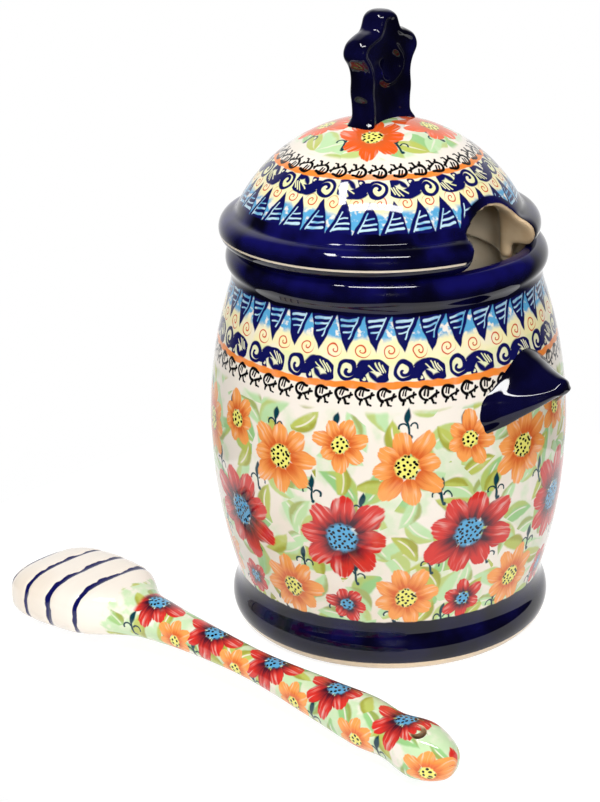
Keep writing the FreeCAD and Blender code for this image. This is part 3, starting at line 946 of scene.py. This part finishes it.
# Knob
# A press-moulded scroll plate with lobed edges, dished on both broad faces round a raised curl.
# It is stuck to the crown of the lid with slip and dipped in cobalt, which breaks paler on its ridges.
knob_root = 4.0
knob_half_thickness = 4.7
knob_shift = 1.0
knob_shift_turn = math.radians(40.5)
knob_edge_round = 2.4
knob_edge_power = 2.6
knob_rows = 170
knob_columns = 80
knob_grain = 0.36
knob_sponging = 12
dome_top = dome_centre + dome_radius
knob_outline = [
    (13.2, 0.0), (12.5, 2.8), (10.9, 5.4), (11.0, 9.0), (11.5, 13.0), (11.2, 17.6), (12.3, 21.2),
    (14.4, 24.2), (14.6, 26.8), (12.8, 29.7), (9.2, 31.5), (6.3, 32.5), (5.2, 34.3), (4.2, 36.6),
    (2.3, 38.0), (0.0, 38.4),
]
knob_curl = [
    (3.0, 26.2), (5.6, 23.4), (5.9, 20.6), (4.6, 18.0), (1.8, 16.2), (-1.4, 15.8), (-4.0, 17.4), (-4.2, 20.0),
]
knob_fold = [(2.6, 12.4), (4.2, 9.6), (6.2, 7.2)]
knob_dish = (-0.6, 20.6)
curl_height = 1.7
fold_height = 0.5
pinch_heights = [20.4, 9.6]
pinch_depth = 1.1


def near_path(points):
    """A search tree of the places along a smooth curve through points."""
    steps = 60 * len(points)
    tree = kdtree.KDTree(steps + 1)
    for step in range(steps + 1):
        across, up = spline(points, step / steps)
        tree.insert((across, up, 0.0), step)
    tree.balance()
    return tree


def knob_mesh():
    """The knob skinned between its two broad faces, evened out, and hollowed along its narrow sides."""
    outline = knob_outline + [(-across, up) for across, up in reversed(knob_outline[:-1])]
    edge = near_path(outline)
    ridge = near_path(knob_curl)
    fold = near_path(knob_fold)
    steps = 600
    side = [spline(knob_outline, step / steps) for step in range(steps + 1)]
    crown = knob_outline[-1][1]

    def thickness(across, up):
        here = (across, up, 0.0)
        gap = edge.find(here)[2]
        share = 1 - min(gap / knob_edge_round, 1.0)
        thick = knob_half_thickness * (1 - share ** knob_edge_power) ** (1 / knob_edge_power)
        thick += 0.8 * step_up(up, 5.6, 2.4)
        thick -= 1.25 * step_up(gap, 1.6, 3.3) + 0.5 * step_up(gap, 3.0, 8.0)
        thick -= 1.3 * math.exp(-((across - knob_dish[0]) / 3.4) ** 2 - ((up - knob_dish[1]) / 3.0) ** 2)
        thick += curl_height * math.exp(-(ridge.find(here)[2] / 1.15) ** 2)
        return thick + fold_height * math.exp(-(fold.find(here)[2] / 1.3) ** 2)

    shell = bmesh.new()
    faces = ([], [])
    for row in range(knob_rows + 1):
        up = crown * row / knob_rows
        half = max((across for across, height in side if abs(height - up) <= crown / 300), default=0.0)
        half = 0.0 if row == knob_rows else half
        lines = ([], [])
        for column in range(knob_columns + 1):
            across = -half * math.cos(math.pi * column / knob_columns)
            thick = thickness(across, up) if 0 < column < knob_columns and row < knob_rows else 0.0
            for line, way in zip(lines, (1, -1)):
                line.append(shell.verts.new((max(thick, 0.0) * way, across * way, up)))
        for face, line in zip(faces, lines):
            face.append(line if face is faces[0] else line[::-1])
    for face in faces:
        for line, after in zip(face, face[1:]):
            for column in range(knob_columns):
                shell.faces.new((line[column], line[column + 1], after[column + 1], after[column]))
    shell.faces.new(faces[0][0] + faces[1][0][::-1][1:-1])
    shell = evened_shell(knob_grain, set_out("knob_skin", finished("knob_skin", shell)))
    for vert in shell.verts:
        for height in pinch_heights:
            pinch = math.exp(-((vert.co.z - height) / 2.6) ** 2 - (vert.co.x / 2.9) ** 2)
            inset = pinch_depth * pinch * step_up(abs(vert.co.y), 7.0, 10.5)
            vert.co.y -= math.copysign(inset, vert.co.y)
    sponged(shell, shell.verts, knob_sponging)
    shift = Vector((math.cos(knob_shift_turn), math.sin(knob_shift_turn), 0.0)) * knob_shift
    shift.z = dome_top - knob_root
    knob_lie = lid_lie @ Matrix.Translation(shift)
    bmesh.ops.transform(shell, matrix=Matrix.Scale(mm, 4) @ knob_lie, verts=shell.verts)
    return finished("knob", shell)


mesh = knob_mesh()
mesh.materials.append(cobalt_glaze)
new_piece("knob", mesh, "lid", "lid_knob")

# Dipper
# A solid stoneware dipper: a flattened head with four shallow rings, a waisted handle and a drilled bulb.
# It is pressed in two halves and fettled, then painted and glazed; the hole is left bare.
dipper_length = 191.3
head_length = 62.0
head_droop = 7.6
droop_length = 107.0
head_spread_gain = 0.96
spread_end = 38.4
head_square = 0.35
first_ring = 5.6
ring_spacing = 11.7
ring_count = 4
ring_half_width = 0.9
ring_depth = 0.6
hole_radius = 2.2
hole_station = 179.8
hole_roll = math.radians(20.0)
hole_ease = 0.8
drill_rows = 60
drill_columns = 40
bulb_radius = 8.75
bulb_middle = 179.2
dipper_tip = (-96.3, -79.0)
dipper_yaw = math.radians(-1.1)
table_gap = 0.3
dipper_side = [
    (0.0, 0.0), (6.08, 2.4), (9.11, 9.12), (9.8, 24.0), (8.97, 43.0), (7.45, 62.0), (5.96, 79.2),
    (4.9, 109.0), (6.68, 138.4), (7.95, 156.4), (7.3, 167.5), (8.75, 179.2), (5.43, 188.64), (0.0, 191.3),
]
dipper_rows = 260
dipper_columns = 72
dipper_sides = [spline(dipper_side, row / dipper_rows) for row in range(dipper_rows + 1)]
rest_station = head_length * 0.18
rest_half = min(dipper_sides, key=lambda side: abs(side[1] - rest_station))[0]
head_reach = head_droop * (1 - rest_station / droop_length) ** 2 + rest_half
dipper_tilt = math.atan((head_reach - bulb_radius) / (bulb_middle - rest_station))
laid = Matrix.Rotation(dipper_yaw, 4, "Z") @ Matrix.Rotation(math.pi / 2 + dipper_tilt, 4, "Y")
dipper_ways = [laid.to_3x3() @ Vector(way) for way in ((0.0, 0.0, 1.0), (0.0, 1.0, 0.0), (-1.0, 0.0, 0.0))]
dipper_start = Vector((dipper_tip[0], dipper_tip[1], table_gap + head_reach * math.cos(dipper_tilt)))


def dipper_mesh():
    """The dipper skinned over its cross sections, laid on its head and bulb."""
    shell = bmesh.new()
    rings = []
    for half, station in dipper_sides[1:-1]:
        along = min(max((station - spread_end) / (head_length - spread_end), 0.0), 1.0)
        spread = 1 + head_spread_gain * (1 + math.cos(math.pi * along)) / 2
        power = 1 - head_square * (spread - 1)
        droop = head_droop * max(1 - station / droop_length, 0.0) ** 2
        inset = 0.0
        for ring in range(ring_count):
            away = (station - first_ring - ring_spacing * ring) / ring_half_width
            inset += ring_depth * math.exp(-away ** 2)
        line = []
        for column in range(dipper_columns):
            turn = 2 * math.pi * column / dipper_columns
            down = math.copysign(abs(math.cos(turn)) ** power, math.cos(turn))
            across = math.copysign(abs(math.sin(turn)) ** power, math.sin(turn))
            place = (droop + (half - inset) * down, (half * spread - inset) * across, station)
            line.append(shell.verts.new(Vector(place) * mm))
        rings.append(line)
    sleeve(shell, rings)
    for line, place in ((rings[0], (head_droop, 0.0, 0.0)), (rings[-1], (0.0, 0.0, dipper_length))):
        cone(shell, line, shell.verts.new(Vector(place) * mm))
    bmesh.ops.transform(shell, matrix=laid, verts=shell.verts)
    lowest = min(vert.co.z for vert in shell.verts)
    place = Vector((dipper_tip[0] * mm, dipper_tip[1] * mm, table_gap * mm - lowest))
    bmesh.ops.translate(shell, vec=place, verts=shell.verts)
    return finished("dipper", shell)


def drilled(mesh):
    """The dipper with its hanging hole drilled through the bulb and eased at both ends, left as bare clay."""
    mesh.materials.append(bare_clay)
    shell = bmesh.new()
    rings = []
    for step in range(drill_rows + 1):
        along = (step / drill_rows * 2 - 1) * (bulb_radius + 0.3)
        flare = min(max((abs(along) - bulb_radius + hole_ease) / (hole_ease * 1.35), 0.0), 1.0)
        reach = hole_radius + hole_ease * (1 - math.sqrt(1 - flare ** 2))
        ring = []
        for column in range(drill_columns):
            turn = 2 * math.pi * column / drill_columns
            ring.append(shell.verts.new((reach * math.cos(turn), reach * math.sin(turn), along)))
        rings.append(ring)
    sleeve(shell, rings)
    shell.faces.new(rings[0][::-1])
    shell.faces.new(rings[-1])
    for face in shell.faces:
        face.material_index = 1
    way_up = laid.to_3x3() @ Vector((-math.cos(hole_roll), -math.sin(hole_roll), 0.0))
    turned = way_up.to_track_quat("Z", "Y").to_matrix().to_4x4()
    drill_lie = Matrix.Translation(dipper_start + dipper_ways[0] * hole_station) @ turned
    bmesh.ops.transform(shell, matrix=Matrix.Scale(mm, 4) @ drill_lie, verts=shell.verts)
    drill = set_out("drill", finished("drill", shell))
    drill.data.materials.append(None)
    drill.data.materials.append(bare_clay)
    bulb = set_out("bulb", mesh)
    cut_away(bulb, drill)
    cut_mesh = worked(bulb, drill)
    cut_mesh.name = "dipper"
    return cut_mesh


handle_start = 50.0
blossom_start = 58.0
blossom_run = 27.0

dipper_glaze, place = new_glaze("dipper_glaze")
wobble = hand_wobble(place)
station, side, rise = (place.seen_from(dipper_start).toward(way) for way in dipper_ways)
station = station + wobble[0] * 1.6
girth = place.maths("ARCTAN2", side, rise) / (2 * math.pi)
reach = place.maths("SQRT", side * side + rise * rise)
lift = place.node("ShaderNodeVectorMath", {"operation": "SCALE"}, {0: dipper_ways[1], "Scale": rise / reach})
fall = place.node("ShaderNodeVectorMath", {"operation": "SCALE"}, {0: dipper_ways[2], "Scale": side / reach})
green_ways = (dipper_ways[0], lift.seen_from(fall))
wash = place.grain(0.2, 4.0)
colour = worn_cream(place)
handle = (station + (wash - 0.5) * 14).fade(handle_start, handle_start + 2.0)
colour = brushed(colour, mint, place.grain(0.12, 3.0).fade(0.36, 0.48) * handle * wash.fade(0.1, 0.6) * 0.85)
colour = foliage(colour, place, green_ways, 10.0, (6.0, 2.4), (fern, moss, olive), handle, wash)
run, step = repeats(station, 1 / blossom_run, 0.1)
tile, number = repeats(girth + step * 0.3 + 0.5, 1, 0.0)
bend, half_step = repeats(station, 1 / blossom_run, 0.6)
half_tile, half_number = repeats(girth + half_step * 0.3 + 0.78, 1, 0.0)
round_run = reach * (2 * math.pi)
spot = placed(bend * blossom_run - 8.0, half_tile * round_run)
colour = brushed(colour, teal, sprig(spot) * handle)
plain = colour
spot = placed(run * blossom_run, tile * round_run)
colour = blossom(colour, spot, step + number, 5.0, 11.0, 8, red_tones, wash)
spot = placed(bend * blossom_run, half_tile * round_run)
colour = blossom(colour, spot, half_step + half_number, 8.0, 7.6, 7, orange_tones, wash)
colour = brushed(plain, colour, station.fade(blossom_start, blossom_start + 2.0))
for ring in range(ring_count):
    line = abs(station - first_ring - ring_spacing * ring + (place.grain(0.09, 2.0) - 0.5) * 3.0)
    colour = brushed(colour, cobalt, (line + (wash - 0.5) * 0.9).fade(1.15, 0.85))
glaze_coat(dipper_glaze, colour, 0.04, place)

mesh = dipper_mesh()
mesh.materials.append(dipper_glaze)
new_piece("dipper", drilled(mesh), "dipper", "honey_dipper")

# Studio
# A white sweep under soft boxes, and the camera where the photograph was taken from.
floor_half = 0.17
camera_place = Vector((0.392318, -0.459345, 0.308329))
camera_right = Vector((0.734096, 0.678569, -0.025451))
camera_up = Vector((-0.227538, 0.281125, 0.932306))
camera_lens = 85.845
paper_glow = 0.84
pot_middle = Vector((0.0, 0.0, 0.1))
lamp_aim = Vector((0.0, 0.0, 0.12))
lamp_far = 1.2
backdrop_way = (-0.65, 0.76, 0.0)
backdrop_least = 0.03
front_way = (0.64, -0.68, 0.36)
front_glow = 37.0
back_glow = 0.9
room_glow = 0.18

shell = bmesh.new()
bmesh.ops.create_grid(shell, x_segments=1, y_segments=1, size=floor_half)
floor_mesh = finished("floor", shell)
floor = set_out("floor", floor_mesh)
floor_paper = bpy.data.materials.new("floor_paper")
floor_paper.use_nodes = True
floor_mesh.materials.append(floor_paper)


def seen_directly(start):
    """1 for the rays that show the backdrop: from the camera, off gloss and through glass."""
    kinds = ("Is Camera Ray", "Is Glossy Ray", "Is Transmission Ray")
    ways = [start.node("ShaderNodeLightPath", {}, {}, kind) for kind in kinds]
    return ways[0] | ways[1] | ways[2]


paper = Dye(floor_paper.node_tree)
shaded = paper.node("ShaderNodeBsdfDiffuse", {}, {"Color": (0.30, 0.30, 0.30, 1.0)})
bright = paper.node("ShaderNodeEmission", {}, {"Strength": paper_glow})
lit = paper.node("ShaderNodeAddShader", {}, {0: shaded, 1: bright})
sheet = paper.node("ShaderNodeBsdfDiffuse", {}, {"Color": (0.85, 0.85, 0.85, 1.0)})
seen = paper.node("ShaderNodeMixShader", {}, {0: seen_directly(paper), 1: sheet, 2: lit})
floor_paper.node_tree.links.new(seen.socket, floor_paper.node_tree.nodes["Material Output"].inputs["Surface"])


def soft_box(name, turn, rise, size, lean, watts):
    """An area lamp round the pot, by its turn and rise in degrees, leaned on its stand by some degrees."""
    lamp = bpy.data.lights.new(name, "AREA")
    lamp.shape = "RECTANGLE"
    lamp.size, lamp.size_y = size
    lamp.energy = watts
    holder = set_out(name, lamp)
    turn = math.radians(turn)
    rise = math.radians(rise)
    way = Vector((math.cos(rise) * math.cos(turn), math.cos(rise) * math.sin(turn), math.sin(rise)))
    holder.location = way * lamp_far + pot_middle
    facing = (lamp_aim - holder.location).to_track_quat("-Z", "Y").to_matrix().to_4x4()
    holder.rotation_euler = (facing @ Matrix.Rotation(math.radians(lean), 4, "Z")).to_euler()


soft_box("front_strip", -54, 64, (0.72, 0.1), 0, 6.4)
soft_box("left_strip", -112, 66, (0.36, 0.1), -40, 3.2)
world = bpy.data.worlds.new("studio")
world.use_nodes = True
sky_tree = world.node_tree
room = Dye(sky_tree)
looking = room.node("ShaderNodeTexCoord", {}, {}, "Generated")
before = looking.toward(front_way)
behind = looking.toward(backdrop_way)
dim = behind.fade(0.45, 0.95) * (1.0 - backdrop_least) + backdrop_least
soft = before.fade(0.985, 0.998) * front_glow + before.fade(0.2, -0.9) * back_glow + room_glow
fill, wall, white = (
    room.node("ShaderNodeBackground", {}, {"Color": (1.0, 1.0, 1.0, 1.0), "Strength": strength})
    for strength in (soft, dim, 1.0)
)
mirrored = room.node("ShaderNodeMixShader", {}, {0: seen_directly(room), 1: fill, 2: wall})
camera_ray = room.node("ShaderNodeLightPath", {}, {}, "Is Camera Ray")
shown = room.node("ShaderNodeMixShader", {}, {0: camera_ray, 1: mirrored, 2: white})
sky_tree.links.new(shown.socket, sky_tree.nodes["World Output"].inputs["Surface"])
bpy.context.scene.world = world

lens = bpy.data.cameras.new("camera")
lens.sensor_width = 36.0
lens.sensor_fit = "AUTO"
lens.lens = camera_lens
camera = set_out("camera", lens)
camera_back = camera_right.cross(camera_up)
turned = Matrix((camera_right, camera_up, camera_back)).transposed()
camera.matrix_world = Matrix.Translation(camera_place) @ turned.to_4x4()
bpy.context.scene.camera = camera
bpy.context.scene.view_settings.view_transform = "Standard"
